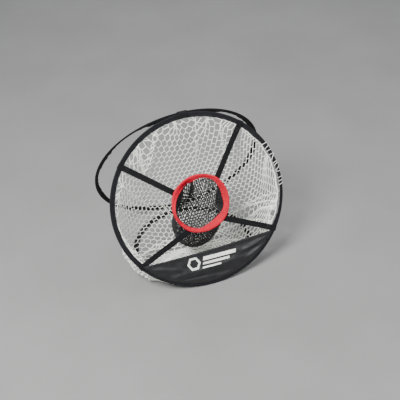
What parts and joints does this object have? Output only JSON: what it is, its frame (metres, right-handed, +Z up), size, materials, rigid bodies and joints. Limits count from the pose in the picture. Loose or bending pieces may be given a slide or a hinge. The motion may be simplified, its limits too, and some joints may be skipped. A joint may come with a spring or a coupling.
{
  "type": "golf chipping net",
  "caption": "Folding golf chipping net: three sprung fabric hoops as an A-frame, a catch net, a target ring with pocket net and a front panel.",
  "frame": {"origin": "on the ground, under the middle of the whole object's box", "axes": "+Z up; the ball comes from the -Y side; X runs across, along the two seams that the hoops turn about"},
  "size_m": [0.61, 0.4762, 0.5675],
  "materials": {
    "spring_steel": "plain drawn spring wire",
    "crimp": "crimped steel tube",
    "front_sleeve": "charcoal polyester tape, folded and stitched",
    "rear_sleeve": "black polyester tape, folded and stitched",
    "webbing": "black polypropylene webbing",
    "target_tape": "coral red polyester tape, gathered round its ring",
    "panel_nylon": "charcoal coated nylon, slight sheen",
    "print": "off-white screen print",
    "white_net": "off-white knotted polyethylene netting",
    "black_net": "black knotted polyethylene netting",
    "thread": "black polyester thread"
  },
  "bodies": {
    "front_frame": {"front_hoop_wire": "spring_steel", "front_hoop_ferrule": "crimp", "front_hoop_sleeve": "front_sleeve", "target_ring_wire": "spring_steel", "target_ring_ferrule": "crimp", "target_ring_sleeve": "target_tape", "strap_upper_left": "webbing", "strap_upper_right": "webbing", "strap_lower_right": "webbing", "strap_lower_left": "webbing", "front_panel": "panel_nylon", "front_panel_hem": "panel_nylon", "panel_print": "print", "catch_net": "white_net", "catch_net_edge_cord": "white_net", "pocket_net": "black_net", "pocket_net_edge_cord": "black_net", "top_seam": "thread", "lower_seam": "thread", "top_hinge_tab": "rear_sleeve", "front_base_tab": "rear_sleeve"},
    "rear_hoop": {"rear_hoop_wire": "spring_steel", "rear_hoop_ferrule": "crimp", "rear_hoop_sleeve": "rear_sleeve", "rear_base_tab": "rear_sleeve"},
    "base_hoop": {"base_hoop_wire": "spring_steel", "base_hoop_ferrule": "crimp", "base_hoop_sleeve": "rear_sleeve"}
  },
  "joints": [
    {"name": "rear_hoop_fold", "type": "hinge", "parent": "front_frame", "child": "rear_hoop", "pos_m": [0, 0.001, 0.56148], "axis": [-1, 0, 0], "range_deg": [0, 43], "deforming": ["top_hinge_tab", "rear_base_tab"]},
    {"name": "base_hoop_fold", "type": "hinge", "parent": "front_frame", "child": "base_hoop", "pos_m": [0, -0.22543, 0.0084], "axis": [1, 0, 0], "range_deg": [0, 67.2], "deforming": ["front_base_tab", "catch_net", "pocket_net"]}
  ],
  "couplings": [
    {"joint": "base_hoop_fold", "follows": "rear_hoop_fold", "ratio": 1.5581}
  ]
}
